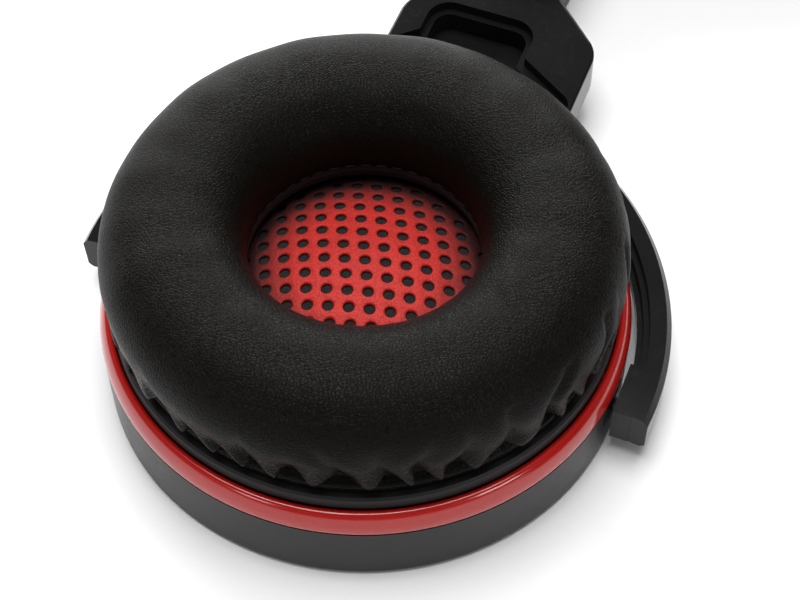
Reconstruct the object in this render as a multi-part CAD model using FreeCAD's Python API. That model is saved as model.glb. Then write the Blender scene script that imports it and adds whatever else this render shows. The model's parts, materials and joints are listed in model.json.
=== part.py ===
import FreeCAD, Part
import math
import os

# Closed-back gaming headset lying folded flat: both cups are turned cushion-up on their outer faces
# and the headband lies on its edge. +Z is up, +Y runs from the cups to the top of the headband and
# +X from the right-ear cup to the left-ear cup, which carries the microphone. Millimetres.

V = FreeCAD.Vector
FULL = 360.0
X, Y, Z = V(1, 0, 0), V(0, 1, 0), V(0, 0, 1)

# Driving dimensions of the whole headset.
CUP_SPACING = 150.0  # between the two cup centres
CUP_R = 45.0  # housing
CROWN_Y = 156.0  # cup centre to the middle of the band's top
SLIDE_TRAVEL = 22.0
ORIGIN = V(3.95, 56.96, 0)  # bottom centre of the box at rest, from the point midway between the cups

# One cup, seen from its own centre on the floor: heights above the floor.
SHELL_TOP = 12.7
RING_TOP = 17.0
BAFFLE_TOP = 21.4
CUSHION_TOP = 40.0
WALL = 2.2
SHELL_FLOOR = (1.8, 4.0)
RECESS_R = 36.0
PLATE_Z = (0.6, 1.8)
PIVOT_Z = 8.2
PIN_R = 2.0
PIN_FIT = 0.05
POST_PITCH_R = 35.0
POST_ANGLES = (45, 135, 225, 315)
POST_R, POST_LENGTH, POST_BORE_R, POST_BORE_LENGTH = 3.0, 8.8, 1.0, 9.0
PIVOT_BOSS_R, PIVOT_BOSS_IN, PIVOT_BOSS_OUT = 3.7, 38.5, 43.6
EDGE_ROUND, EDGE_MID = 1.2, 0.35  # radius of a moulded edge, and how far in its middle point sits
SLOTS, SLOT_HALF_W, SLOT_IN, SLOT_OUT = 12, 1.3, 17.0, 27.5  # in the outer plate
SOUND_RINGS = ((6, 6.5), (12, 13.0))  # number of holes and the circle they sit on
RING_R_TOP = 43.7
SPIGOT_R = 41.3
MESH_R, MESH_EDGE_Z, MESH_DOME_R, MESH_T = 21.6, 20.0, 52.0, 0.7
FOAM_R, FOAM_FLOOR = 21.0, 19.22
COIL_R, COIL_TOP, SURROUND_R = 8.6, 13.4, 18.7
HOLE_R = 1.7
TUBE_MID_R = 31.2  # middle of the cushion's ring
TUBE_MID_Z = 29.0

# Yoke, in its own flat plane through the two pivots.
ARM_IN, ARM_OUT, ARM_H = 47.3, 52.0, 4.0
ARM_OVERRUN = 5.6  # degrees past each pivot
LEDGE_IN, LEDGE_TOP = 46.3, 1.0  # rib along the arm's inner face, clear of the tilting cup
BOSS_IN, BOSS_HALF_W = 45.6, 4.9  # block at each pivot, between the arm and the cup
BLOCK_W, BLOCK_H = 19.2, 5.3  # half width and half thickness of the block
BLOCK_CORNER_Y, BLOCK_END_Y, BLOCK_END_W = 67.6, 79.4, 6.8
BLOCK_ROUND = 3.2
COVER_T, COVER_NEAR = 2.0, 46.0
COVER_SCREW_X, COVER_SCREW_Y, COVER_SCREW_R, COVER_SCREW_HEAD_R = 11.5, 70.5, 1.0, 2.1
COVER_SCREW_FOOT = -4.9  # underside of each screw's head
TAB_OFFSET = 3.4  # the cover's cut-out sits this far to the outer side of the headset
NECK_R = 5.2
NECK_END = 80.0
SHAFT_R = 2.5
SHAFT_HEAD_R = 3.2

# Slider and headband, in the same flat plane.
RUN_GAP = 0.3
FOOT_END = 83.2
BAR_END = 117.0
BAR_T, BAR_W = 2.0, 14.0
DETENTS, DETENT_START, DETENT_R = 8, 90.0, 0.9
BAND_X = CUP_SPACING / 2
BAND_START = 83.5
SIDE_TOP = 101.0  # the band's sides are straight up to here
CORNER_R = 50.0
CAP_ANGLE = 34.0  # each end cap reaches this far round the corner arc
SPRING_ANGLE = 21.0
SPRING_Z, SPRING_HALF_W = (0.6, 1.6), 8.0
CAP_SCREW_ANGLE, CAP_SCREW_Z = 28.0, 5.5  # round the corner arc, and to each side of the band's line
LEAF_Y, LEAF_HALF_W = (92, 110), 3.0  # detent spring
SLIDE_FIT = 0.15
PAD_ANGLE = 42.0
BAND_HALF_T = 6.0
END_HALF_W, CROWN_HALF_W = 11.0, 16.0
SHELL_IN = 2.2  # inner face of the band's outer cover, from the band's middle line
SHELL_WALL = 1.6
CARRIER_LOW = -1.2
PAD_LOW = -13.0

# Microphone on the left-ear cup.
MIC_ANGLE, MIC_PITCH_R = -35.0, 54.5
MOUNT_Z, MOUNT_HALF_ANGLE = (2.6, 12.4), 11.0
HUB_R, HUB_Z = 7.5, (5.7, 10.7)
BOOM_R, BOOM_ARC_R = 2.4, 57.5
BOOM_FROM, BOOM_TO = -27.0, 22.0
NECK_LENGTH = 46.0
CAPSULE_R, CAPSULE_LENGTH = 4.4, 9.0
SCREEN_R, SCREEN_LENGTH = 6.8, 17.0
GLAND_BORE_R, GLAND_R, GLAND_FLANGE_R = 2.2, 3.5, 4.8


def flat_angle():
    """Degrees that the yokes, sliders and band lean, so that the crown's lower edge meets the floor."""
    reach = CROWN_Y + BAND_HALF_T
    span = math.hypot(reach, CROWN_HALF_W)
    return math.degrees(math.atan2(CROWN_HALF_W, reach) - math.asin(PIVOT_Z / span))


LEAN = flat_angle()


def outline(place, start, *steps):
    """Closed wire of lines and arcs: each step is a point, or a (middle, end) pair for an arc."""
    edges, here = [], place(*start)
    for step in steps + (start,):
        arc = isinstance(step[0], tuple)
        there = place(*(step[1] if arc else step))
        if here.distanceToPoint(there) > 1e-7:
            curve = Part.Arc(here, place(*step[0]), there) if arc else Part.LineSegment(here, there)
            edges.append(curve.toShape())
        here = there
    return Part.Wire(edges)


def spin(start, *steps, sweep=FULL):
    """Solid of revolution about Z from an outline of (radius, height) points."""
    face = Part.Face(outline(lambda r, z: V(r, 0, z), start, *steps))
    return face.revolve(V(), Z, sweep)


def slab(z0, z1, start, *steps):
    """Upright prism between two heights from an outline of (x, y) points."""
    face = Part.Face(outline(lambda x, y: V(x, y, z0), start, *steps))
    return face.extrude(V(0, 0, z1 - z0))


def rounded_slab(z0, z1, *corners):
    """Upright prism from corners of (x, y, radius), each rounded by a tangent arc."""
    steps = []
    for k, (x, y, r) in enumerate(corners):
        corner = V(x, y, 0)
        before, after = (V(*corners[k + d][:2], 0) - corner for d in (-1, 1 - len(corners)))
        half = before.getAngle(after) / 2
        reach = r / math.tan(half)
        start, end = (corner + side.normalize() * reach for side in (before, after))
        mid = corner + (before + after).normalize() * (r / math.sin(half) - r)
        steps += [(start.x, start.y), ((mid.x, mid.y), (end.x, end.y))] if r else [(x, y)]
    return slab(z0, z1, *steps)


def rod(r, start, end):
    """Cylinder of radius r from one point to another."""
    axis = end - start
    return Part.makeCylinder(r, axis.Length, start, axis)


def box(x, y, z):
    """Box between two values on each axis."""
    return Part.makeBox(x[1] - x[0], y[1] - y[0], z[1] - z[0], V(x[0], y[0], z[0]))


def fuse(*shapes):
    """One solid from touching shapes."""
    return shapes[0].multiFuse(list(shapes[1:])).removeSplitter()


def group(*shapes):
    """Separate solids in one node."""
    return Part.makeCompound(list(shapes))


def polar(r, degrees, z=0.0):
    a = math.radians(degrees)
    return V(r * math.cos(a), r * math.sin(a), z)


def mirrored(shape):
    """The same shape for the other side of the headset."""
    return shape.mirror(V(), X)


# ---- Ear cup ----


def post_points(z):
    return [polar(POST_PITCH_R, a, z) for a in POST_ANGLES]


def cup_shell(with_gland):
    """Moulded dish with a recess for the outer plate, four screw posts and two pivot bosses."""
    low, high = SHELL_FLOOR
    body = spin(
        (RECESS_R, 0), (CUP_R - EDGE_ROUND, 0),
        ((CUP_R - EDGE_MID, EDGE_MID), (CUP_R, EDGE_ROUND)), (CUP_R, SHELL_TOP),
        (CUP_R - WALL, SHELL_TOP), (CUP_R - WALL, high), (0, high), (0, low), (RECESS_R, low),
    )
    posts = [rod(POST_R, p, p + V(0, 0, POST_LENGTH)) for p in post_points(high - 0.5)]
    boss_ends = [[V(s * x, 0, PIVOT_Z) for x in (PIVOT_BOSS_IN, PIVOT_BOSS_OUT)] for s in (-1, 1)]
    bosses = [rod(PIVOT_BOSS_R, start, end) for start, end in boss_ends]
    body = fuse(body, *posts, *bosses)
    cuts = [rod(POST_BORE_R, p, p + V(0, 0, POST_BORE_LENGTH)) for p in post_points(high + 1.5)]
    cuts.append(rod(PIN_R, V(-50, 0, PIVOT_Z), V(50, 0, PIVOT_Z)))
    if with_gland:
        cuts.append(rod(GLAND_R, V(0, -CUP_R - 2, PIVOT_Z), V(0, -CUP_R + 5, PIVOT_Z)))
    return body.cut(cuts)


def outer_plate():
    """Disc in the outer face, with a ring of twelve slots and a shallow seat for the badge."""
    low, high = PLATE_Z
    plate = spin((0, low), (RECESS_R - 0.1, low), (RECESS_R - 0.1, high), (0, high))
    slots = []
    for k in range(SLOTS):
        slot = slab(
            low - 1, high + 1, (SLOT_IN, -SLOT_HALF_W), (SLOT_OUT, -SLOT_HALF_W),
            ((SLOT_OUT + SLOT_HALF_W, 0), (SLOT_OUT, SLOT_HALF_W)), (SLOT_IN, SLOT_HALF_W),
            ((SLOT_IN - SLOT_HALF_W, 0), (SLOT_IN, -SLOT_HALF_W)),
        )
        slot.rotate(V(), Z, (k + 0.5) * FULL / SLOTS)
        slots.append(slot)
    return plate.cut(slots)


def outer_badge():
    """Plain disc with a bevelled rim in the middle of the outer plate."""
    low = PLATE_Z[0]
    return spin((0, 0.15), (10.6, 0.15), (11.8, low), (0, low))


def trim_ring():
    """Thin coloured ring bonded round the edge of the outer plate."""
    low = PLATE_Z[0]
    return spin((31.2, low), (31.4, 0.2), (34.3, 0.2), (34.5, low))


def accent_ring():
    """Coloured conical ring clamped between the shell and the baffle."""
    return spin(
        (SPIGOT_R + 0.1, SHELL_TOP), (CUP_R, SHELL_TOP), (CUP_R, SHELL_TOP + 0.5),
        (RING_R_TOP, RING_TOP), (SPIGOT_R + 0.1, RING_TOP),
    )


def sound_holes(low, high):
    """Nineteen holes: one, then rings of six and twelve."""
    holes = [rod(HOLE_R, V(0, 0, low), V(0, 0, high))]
    for count, radius in SOUND_RINGS:
        for k in range(count):
            angle = k * FULL / count
            holes.append(rod(HOLE_R, polar(radius, angle, low), polar(radius, angle, high)))
    return holes


def baffle():
    """Plate that closes the cup: a spigot, the visible flange, the groove for the cushion's skirt,
    the lip that the skirt hooks over, and a ring below that holds the driver."""
    plate = spin(
        (0, 16.6), (20.6, 16.6), (20.6, 13.0), (22.6, 13.0), (22.6, 16.6), (39.3, 16.6),
        (39.3, 13.2), (SPIGOT_R, 13.2), (SPIGOT_R, RING_TOP), (42.6, RING_TOP), (42.4, 18.8),
        (42.0, 19.2), (39.6, 19.2), (39.6, 20.4), (41.0, 20.4), (41.0, BAFFLE_TOP), (24.0, BAFFLE_TOP),
        (24.0, 19.2), (0, 19.2),
    )
    cuts = sound_holes(16, 20)
    for p in post_points(12):
        cuts += [rod(1.15, p, p + V(0, 0, 12)), rod(2.5, p + V(0, 0, 8), p + V(0, 0, 12))]
    return plate.cut(cuts)


def driver_frame():
    """Basket of the 40 mm driver."""
    return spin(
        (12.1, 9.5), (14.2, 9.5), (19.0, 13.1), (20.5, 13.1), (20.5, 16.5), (18.8, 16.5),
        (18.8, 14.3), (13.6, 10.7), (12.1, 10.7),
    )


def driver_magnet():
    """Steel cup with the magnet and its centre pole."""
    return spin(
        (0, 6.4), (12.0, 6.4), (12.0, 10.6), (9.4, 10.6), (9.4, 8.0), (7.0, 8.0), (7.0, 11.8), (0, 11.8)
    )


def voice_coil():
    """Copper winding in the magnet's gap."""
    low, inner = 9.0, COIL_R - 0.9
    return spin((inner, low), (COIL_R, low), (COIL_R, COIL_TOP), (inner, COIL_TOP))


def dome(r, edge_r, edge_z, sphere_r):
    """Height at a radius of a round cap whose edge is at the given radius and height."""
    return edge_z + math.sqrt(sphere_r**2 - r**2) - math.sqrt(sphere_r**2 - edge_r**2)


def crown(edge_r, edge_z, rise):
    """Arc step from the edge of a round cap up to its top on the axis."""
    sphere_r = (edge_r**2 + rise**2) / (2 * rise)
    mid = edge_r / 2
    return (mid, dome(mid, edge_r, edge_z, sphere_r)), (0, edge_z + rise)


def diaphragm():
    """Film dome with a rolled surround, glued to the coil and the basket's step."""
    film, sphere_r, mid = 0.3, 22.0, COIL_R / 2
    top = [dome(r, COIL_R, COIL_TOP, sphere_r) for r in (0, mid)]
    step = COIL_TOP + 0.9
    return spin(
        (0, top[0] + film), ((mid, top[1] + film), (COIL_R, COIL_TOP + film)),
        ((13.5, 15.6 + film), (SURROUND_R, step + film)), (SURROUND_R, step),
        ((13.5, 15.6), (COIL_R, COIL_TOP)), ((mid, top[1]), (0, top[0])),
    )


def mesh_height(r):
    """Height of the speaker cloth's outer face at a radius."""
    return dome(r, MESH_R, MESH_EDGE_Z, MESH_DOME_R)


def speaker_mesh():
    """Domed cloth over the sound holes."""
    half = MESH_R / 2
    return spin(
        (0, mesh_height(0)), ((half, mesh_height(half)), (MESH_R, MESH_EDGE_Z)),
        (MESH_R, MESH_EDGE_Z - MESH_T),
        ((half, mesh_height(half) - MESH_T), (0, mesh_height(0) - MESH_T)),
    )


def mesh_foam():
    """Foam pad that gives the cloth its dome."""
    gap = MESH_T + 0.05
    heights = [mesh_height(r) - gap for r in (FOAM_R, FOAM_R / 2, 0)]
    return spin(
        (0, FOAM_FLOOR), (FOAM_R, FOAM_FLOOR), (FOAM_R, heights[0]),
        ((FOAM_R / 2, heights[1]), (0, heights[2])),
    )


def ear_cushion():
    """Ring cushion, with the skirt that stretches over the baffle's lip into its groove."""
    half_w = 12.0
    return spin(
        (24.0, BAFFLE_TOP + 0.1), (41.2, BAFFLE_TOP + 0.1), (41.2, 19.5), (42.4, 19.5),
        ((43.1, 23.5), (TUBE_MID_R + half_w, TUBE_MID_Z)),
        ((TUBE_MID_R + 8.6, 37.1), (TUBE_MID_R, CUSHION_TOP)),
        ((TUBE_MID_R - 8.6, 37.1), (TUBE_MID_R - half_w, TUBE_MID_Z)),
        ((20.6, 24.2), (24.0, BAFFLE_TOP + 0.1)),
    )


def pivot_pins():
    """Two steel pins pressed into the shell, which the yoke's ends turn on."""
    return group(*[rod(PIN_R, V(s * 38.6, 0, PIVOT_Z), V(s * 50.6, 0, PIVOT_Z)) for s in (-1, 1)])


def baffle_screws():
    """Four screws that hold the baffle and accent ring to the shell's posts."""
    screws = []
    for p in post_points(6.0):
        screws.append(fuse(rod(1.0, p, p + V(0, 0, 14.2)), rod(2.3, p + V(0, 0, 14.0), p + V(0, 0, 15.2))))
    return group(*screws)


# ---- Yoke and its cover, in the flat plane through the pivots ----


def block_outline(z0, z1, near=40.0):
    """Prism of the block's outline: straight sides, sloping shoulders and a short flat end."""
    corner, end = (BLOCK_W, BLOCK_CORNER_Y, 7.0), (BLOCK_END_W, BLOCK_END_Y, 5.0)
    return rounded_slab(
        z0, z1, (-BLOCK_W, near, 0), (BLOCK_W, near, 0), corner, end,
        (-end[0], *end[1:]), (-corner[0], *corner[1:]),
    )


def cover_screw_points(z):
    return [V(s * COVER_SCREW_X, COVER_SCREW_Y, z) for s in (-1, 1)]


def arch(z0, z1, inset=0.0):
    """Prism of the arched opening in the cover, with its rounded tab towards the far end."""
    side, tab = BLOCK_W - 0.8 - inset, 10.5 - inset
    foot, top = 61.0 - inset, 69.6 - inset
    return rounded_slab(
        z0, z1, (-side, 30, 0), (side, 30, 0), (side, 54.0, 3), (tab - TAB_OFFSET, foot, 0),
        (tab - TAB_OFFSET, top, 4.5 - inset), (-tab - TAB_OFFSET, top, 4.5 - inset),
        (-tab - TAB_OFFSET, foot, 0), (-side, 57.0, 3),
    )


def yoke():
    """C-shaped arm round the cup, ending in the pivot bosses, with the block that takes the shaft."""
    arm = spin(
        (ARM_IN, -ARM_H), (ARM_OUT - 0.8, -ARM_H), (ARM_OUT, -ARM_H + 0.8), (ARM_OUT, ARM_H - 1.3),
        (ARM_OUT - 0.9, ARM_H), (ARM_IN + 1.0, ARM_H), (ARM_IN + 1.0, ARM_H - 1.5), (ARM_IN, ARM_H - 1.5),
        (ARM_IN, LEDGE_TOP), (LEDGE_IN, LEDGE_TOP), (LEDGE_IN, -LEDGE_TOP), (ARM_IN, -LEDGE_TOP),
        sweep=180 + 2 * ARM_OVERRUN,
    )
    arm.rotate(V(), Z, -ARM_OVERRUN)
    block = block_outline(-BLOCK_H, BLOCK_H - COVER_T)
    lower = [e for e in block.Edges if e.BoundBox.ZMax < 0.01 - BLOCK_H and e.BoundBox.YMax > 41]
    block = block.makeFillet(BLOCK_ROUND, lower)
    block = block.cut(Part.makeCylinder(ARM_IN, 40, V(0, 0, -20)))
    boss_x = (BOSS_IN, ARM_IN + 1.5)
    boss_yz = ((-BOSS_HALF_W, BOSS_HALF_W), (-ARM_H, ARM_H))
    bosses = [box(boss_x, *boss_yz), box((-boss_x[1], -boss_x[0]), *boss_yz)]
    neck = rod(NECK_R, V(0, 72, 0), V(0, NECK_END, 0))
    body = fuse(block, arm, neck, *bosses)
    pocket = box((-5.2, 5.2), (70.9, 74.2), (-3.7, BLOCK_H))
    cuts = [
        pocket,
        rod(SHAFT_R + 0.04, V(0, 74, 0), V(0, 81, 0)),
        arch(-1.0, BLOCK_H, inset=1.3),
        block_outline(BLOCK_H - COVER_T, BLOCK_H + 1, near=COVER_NEAR),
        rod(PIN_R + PIN_FIT, V(-51.0, 0, 0), V(51.0, 0, 0)),
    ]
    for bore_r, top in ((COVER_SCREW_R, BLOCK_H), (COVER_SCREW_HEAD_R + 0.2, COVER_SCREW_FOOT + 1.1)):
        below, above_it = cover_screw_points(-6), cover_screw_points(top)
        cuts += [rod(bore_r, start, end) for start, end in zip(below, above_it)]
    return body.cut(cuts)


def yoke_cover():
    """Plate on the block's head side, with the arched edge that clears the cushion."""
    low = BLOCK_H - COVER_T
    plate = block_outline(low, BLOCK_H, near=COVER_NEAR)
    rim = [e for e in plate.Edges if e.BoundBox.ZMin > BLOCK_H - 0.01 and e.BoundBox.YMax > 47]
    plate = plate.makeFillet(0.6, rim)
    plate = plate.cut([Part.makeCylinder(ARM_IN + 1.2, 40, V(0, 0, -20)), arch(low - 1, BLOCK_H + 1)])
    kept = max(plate.Solids, key=lambda s: s.Volume)
    ends = zip(cover_screw_points(0), cover_screw_points(BLOCK_H - 0.7))
    return kept.cut([rod(COVER_SCREW_R, start, end) for start, end in ends])


def yoke_screws():
    """Two screws that hold the cover on the block."""
    screws = []
    for foot in cover_screw_points(COVER_SCREW_FOOT):
        head = rod(COVER_SCREW_HEAD_R, foot, foot + V(0, 0, 1.0))
        screws.append(fuse(head, rod(COVER_SCREW_R, foot, foot + V(0, 0, 9.2))))
    return group(*screws)


# ---- Slider, in the same plane ----


def slider():
    """Flat bar with detent holes on a round foot."""
    foot = rod(NECK_R, V(0, NECK_END + RUN_GAP, 0), V(0, FOOT_END, 0))
    bar = box((-BAR_T / 2, BAR_T / 2), (FOOT_END - 1, BAR_END), (-BAR_W / 2, BAR_W / 2))
    pitch = SLIDE_TRAVEL / DETENTS
    heights = [DETENT_START + k * pitch for k in range(DETENTS + 1)]
    holes = [rod(DETENT_R, V(-BAR_T, y, 0), V(BAR_T, y, 0)) for y in heights]
    return fuse(foot, bar).cut(holes + [rod(SHAFT_R, V(0, NECK_END, 0), V(0, 82.6, 0))])


def swivel_shaft():
    """Headed steel shaft, pressed into the foot, which the yoke turns on."""
    return fuse(
        rod(SHAFT_R, V(0, 71.6, 0), V(0, 82.5, 0)), rod(SHAFT_HEAD_R, V(0, 71.4, 0), V(0, 73.6, 0))
    )


# ---- Headband, in the same plane, with X = 0 midway between the cups ----


def crown_arc():
    """(radius, centre height) of the top arc, tangent to the corner arcs and through the crown."""
    in_x, rise = BAND_X - CORNER_R, CROWN_Y - SIDE_TOP - CORNER_R
    drop = (in_x**2 - rise**2) / (2 * rise)
    return CORNER_R + math.hypot(in_x, drop), SIDE_TOP - drop


def band_line(offset, z):
    """Points along the band's line at an offset: feet, corner arcs and crown, right side first."""
    top_r, top_y = crown_arc()
    corner_x = BAND_X - CORNER_R
    turn = math.atan2(SIDE_TOP - top_y, corner_x)
    r = CORNER_R + offset

    def corner(a):
        return V(corner_x + r * math.cos(a), SIDE_TOP + r * math.sin(a), z)

    right = [V(BAND_X + offset, BAND_START, z), corner(0), corner(turn / 2), corner(turn)]
    left = [V(-p.x, p.y, p.z) for p in reversed(right)]
    return right + [V(0, top_y + top_r + offset, z)] + left


def band_edges(offset, z):
    foot, low, mid, high, crown, high2, mid2, low2, foot2 = band_line(offset, z)
    return [
        Part.LineSegment(foot, low), Part.Arc(low, mid, high), Part.Arc(high, crown, high2),
        Part.Arc(high2, mid2, low2), Part.LineSegment(low2, foot2),
    ]


def band_prism(low, high, half_w):
    """The whole band between two offsets from its middle line."""
    outer, inner = band_edges(high, -half_w), band_edges(low, -half_w)
    ends = [
        Part.LineSegment(outer[-1].EndPoint, inner[-1].EndPoint),
        Part.LineSegment(inner[0].StartPoint, outer[0].StartPoint),
    ]
    wires = Part.sortEdges([c.toShape() for c in outer + inner + ends])
    return Part.Face(Part.Wire(wires[0])).extrude(V(0, 0, 2 * half_w))


def taper(shrink=0.0):
    """Wedge that narrows the band towards its ends."""
    crown = CROWN_Y + BAND_HALF_T
    points = [(BAND_START, END_HALF_W), (crown, CROWN_HALF_W), (crown + 20, CROWN_HALF_W)]
    loop = [(y, h - shrink) for y, h in points] + [(y, shrink - h) for y, h in reversed(points)]
    return Part.Face(outline(lambda y, z: V(-100, y, z), *loop)).extrude(V(200, 0, 0))


def above(angle, z=20.0):
    """Region over the crown, between rays from the two corner centres."""
    ray = polar(110, angle)
    corner_x = BAND_X - CORNER_R
    tip = (corner_x + ray.x, SIDE_TOP + ray.y)
    return slab(
        -z, z, (corner_x, SIDE_TOP), tip, (tip[0], 240), (-tip[0], 240), (-tip[0], tip[1]),
        (-corner_x, SIDE_TOP),
    )


def headband_shell():
    """Outer plastic cover of the band, a shallow channel with its side walls turned in."""
    shell = band_prism(CARRIER_LOW, BAND_HALF_T, CROWN_HALF_W).common(taper()).common(above(CAP_ANGLE))
    top_r, top_y = crown_arc()
    long_edges = []
    for e in shell.Edges:
        far = e.valueAt((e.FirstParameter + e.LastParameter) / 2)
        from_top = math.hypot(far.x, far.y - top_y) - top_r
        from_corner = math.hypot(abs(far.x) - BAND_X + CORNER_R, far.y - SIDE_TOP) - CORNER_R
        if e.Length > 5 and abs(far.z) > 1 and max(from_top, from_corner) > BAND_HALF_T - 0.1:
            long_edges.append(e)
    hollow = band_prism(CARRIER_LOW - 1, SHELL_IN, CROWN_HALF_W).common(taper(SHELL_WALL))
    return shell.makeFillet(1.2, long_edges).cut(hollow)


def headband_spring():
    """Spring-steel strip from cap to cap, with holes for the cap screws."""
    strip = band_prism(*SPRING_Z, SPRING_HALF_W).common(above(SPRING_ANGLE))
    return strip.cut(cap_screw_rods(1.3, -BAND_HALF_T, BAND_HALF_T))


def pad_carrier():
    """Plastic strip under the spring, which the pad is wrapped round."""
    strip = band_prism(CARRIER_LOW, 0.5, CROWN_HALF_W).common(taper(SHELL_WALL + 0.1))
    return strip.common(above(CAP_ANGLE + 0.2))


def headband_pad():
    """Cushion under the crown."""
    pad = band_prism(PAD_LOW, CARRIER_LOW - 0.1, CROWN_HALF_W).common(taper(0.5))
    return pad.common(above(PAD_ANGLE))


def cap_region():
    """Region of the right-hand end cap, below the ray at its end."""
    corner_x = BAND_X - CORNER_R
    ray = polar(90, CAP_ANGLE - 0.2)
    return slab(
        -20, 20, (corner_x, BAND_START), (110, BAND_START), (110, SIDE_TOP + ray.y),
        (corner_x + ray.x, SIDE_TOP + ray.y), (corner_x, SIDE_TOP),
    )


def cap_screw_rods(r, low, high):
    """Two rods per end cap, through the band's thickness between two offsets."""
    rods = []
    for z in (-CAP_SCREW_Z, CAP_SCREW_Z):
        start = polar(CORNER_R + low, CAP_SCREW_ANGLE, z) + V(BAND_X - CORNER_R, SIDE_TOP, 0)
        end = polar(CORNER_R + high, CAP_SCREW_ANGLE, z) + V(BAND_X - CORNER_R, SIDE_TOP, 0)
        rods += [rod(r, start, end), mirrored(rod(r, start, end))]
    return rods


def end_cap(low, high):
    """One half of the right-hand end cap, with the slider's channel and the spring's slot."""
    body = band_prism(low, high, CROWN_HALF_W).common(taper()).common(cap_region())
    half_t, half_w = BAR_T / 2 + SLIDE_FIT, BAR_W / 2 + SLIDE_FIT
    channel = box(
        (BAND_X - half_t, BAND_X + half_t), (BAND_START - 1, BAR_END + 0.5), (-half_w, half_w)
    )
    spring_slot = band_prism(SPRING_Z[0] - 0.1, SPRING_Z[1] + 0.1, SPRING_HALF_W + 0.1)
    spring_slot = spring_slot.common(above(SPRING_ANGLE - 0.5))
    leaf_pocket = box((BAND_X - 2.4, BAND_X), LEAF_Y, (-LEAF_HALF_W - 0.4, LEAF_HALF_W + 0.4))
    cuts = [channel, spring_slot, leaf_pocket] + cap_screw_rods(0.9, -8.0, 3.6)
    cuts += cap_screw_rods(2.2, -8.0, -4.6)
    return body.cut(cuts)


def cap_outer():
    return end_cap(0.0, BAND_HALF_T)


def cap_inner():
    return end_cap(-BAND_HALF_T, -0.05)


def cap_screws():
    """Two screws through each end cap and the steel strip."""
    heads, shanks = cap_screw_rods(2.0, -5.8, -4.6), cap_screw_rods(0.9, -4.8, 3.5)
    return group(*[fuse(h, s) for h, s in zip(heads, shanks)])


def detent_springs():
    """Leaf springs in the inner cap halves, each with a rounded bump facing a detent hole."""
    bar_face = BAND_X - BAR_T / 2
    leaf = box((bar_face - 1.2, bar_face - 0.8), LEAF_Y, (-LEAF_HALF_W, LEAF_HALF_W))
    bump = spin((0, 0), (2.0, 0), crown(2.0, 0, 0.7))
    bump.rotate(V(), Y, 90)
    bump.translate(V(bar_face - 0.81, sum(LEAF_Y) / 2, 0))
    part = fuse(leaf, bump)
    return group(part, mirrored(part))


# ---- Microphone and cable inlet on the left-ear cup ----


def mic_centre(z):
    return polar(MIC_PITCH_R, MIC_ANGLE, z)


def mic_mount():
    """Fork on the shell's side that holds the boom's hub between two ears."""
    def ear(z0, z1):
        disc = rod(HUB_R + 0.8, mic_centre(z0), mic_centre(z1))
        a, b = (polar(CUP_R + 0.4, MIC_ANGLE + turn) for turn in (-MOUNT_HALF_ANGLE, MOUNT_HALF_ANGLE))
        c, d = polar(52, MIC_ANGLE + 8.5), polar(52, MIC_ANGLE - 8.5)
        return fuse(disc, slab(z0, z1, (a.x, a.y), (d.x, d.y), (c.x, c.y), (b.x, b.y)))

    low, high = MOUNT_Z
    near, far = CUP_R - 1, CUP_R + 1.5
    web = spin((near, low), (far, low), (far, high), (near, high), sweep=2 * MOUNT_HALF_ANGLE)
    web.rotate(V(), Z, MIC_ANGLE - MOUNT_HALF_ANGLE)
    body = fuse(ear(low, HUB_Z[0] - 0.25), ear(HUB_Z[1] + 0.25, high), web)
    pin_hole = rod(PIN_R, mic_centre(low + 1), mic_centre(high - 0.8))
    return body.cut([Part.makeCylinder(CUP_R + 0.02, 20), pin_hole])


def mic_hub():
    """Disc at the root of the boom, with a socket for the tube."""
    low, high = HUB_Z
    mid = (low + high) / 2
    disc = spin(
        (0, low), (HUB_R - 0.5, low), (HUB_R, low + 0.5),
        (HUB_R, high - 0.5), (HUB_R - 0.5, high), (0, high),
    )
    disc.translate(mic_centre(0))
    socket = rod(3.4, mic_centre(mid) + V(3, 0, 0), polar(BOOM_ARC_R + 0.2, BOOM_FROM + 3, mid))
    body = fuse(disc, socket.common(box((0, 90), (-90, 90), (low, high))))
    tube = boom_tube(BOOM_R, BOOM_FROM, BOOM_FROM + 8)
    return body.cut([tube, rod(PIN_R + PIN_FIT, mic_centre(0), mic_centre(20))])


def mic_pin():
    """Steel pin through the fork and the hub."""
    return rod(PIN_R, mic_centre(3.7), mic_centre(11.5))


def boom_tube(r, start, end):
    """Tube on the arc that follows the yoke's outside."""
    mid = (HUB_Z[0] + HUB_Z[1]) / 2
    circle = Part.Face(Part.Wire(Part.makeCircle(r, V(BOOM_ARC_R, 0, mid), Y)))
    tube = circle.revolve(V(0, 0, 0), Z, end - start)
    tube.rotate(V(), Z, start)
    return tube


def boom_end(distance):
    """Point on the straight run past the boom's arc."""
    mid = (HUB_Z[0] + HUB_Z[1]) / 2
    return polar(BOOM_ARC_R, BOOM_TO, mid) + polar(distance, BOOM_TO + 90)


def mic_arm():
    """Rigid lower half of the boom."""
    return boom_tube(BOOM_R, BOOM_FROM, BOOM_TO)


def mic_gooseneck():
    """Flexible upper half of the boom."""
    return rod(BOOM_R - 0.2, boom_end(0), boom_end(NECK_LENGTH))


def mic_capsule():
    """Housing of the electret capsule."""
    a, b = boom_end(NECK_LENGTH), boom_end(NECK_LENGTH + CAPSULE_LENGTH)
    return rod(CAPSULE_R, a, b)


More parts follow.
